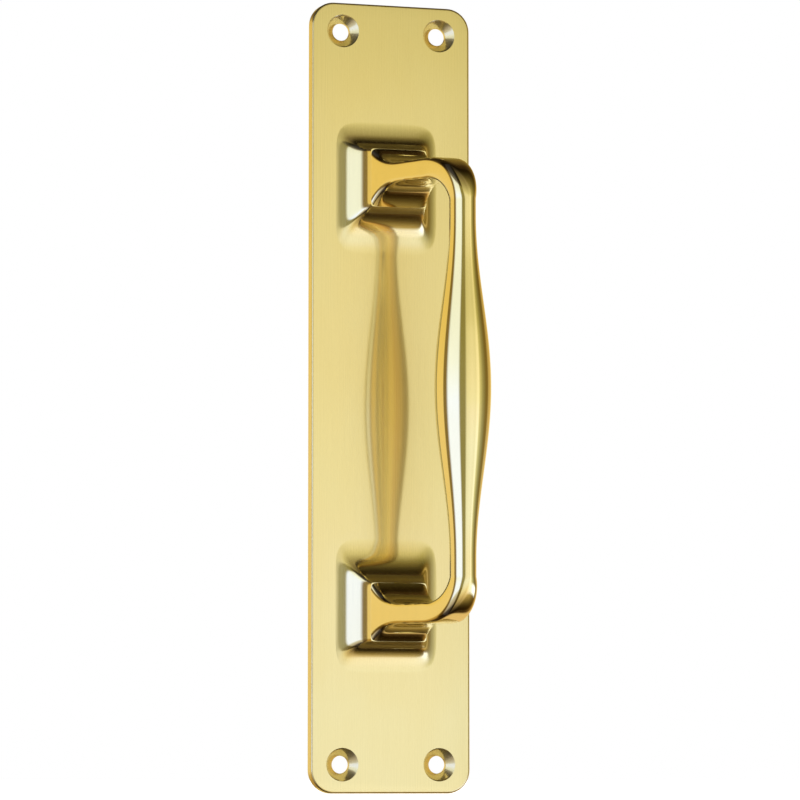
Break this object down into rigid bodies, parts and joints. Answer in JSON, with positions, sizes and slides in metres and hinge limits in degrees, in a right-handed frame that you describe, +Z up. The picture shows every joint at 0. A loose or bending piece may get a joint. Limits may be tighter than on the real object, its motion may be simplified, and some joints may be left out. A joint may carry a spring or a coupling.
{
  "type": "bar handle on backplate",
  "caption": "Brass door pull: a bowed bar handle with a swollen oval grip, leaning to one side, on flared feet on a tall rounded backplate with countersunk screw holes.",
  "frame": {"origin": "centre of the backplate's back face, which lies against the door", "axes": "+Z up the plate, +X across it to the side the grip leans to, -Y out from the door towards the user"},
  "size_m": [0.064, 0.0605, 0.305],
  "materials": {
    "polished_brass": "polished and lacquered: plate and feet linished lengthwise, handle buffed to a mirror"
  },
  "bodies": {
    "root": {"pull_handle": "polished_brass"}
  },
  "joints": []
}
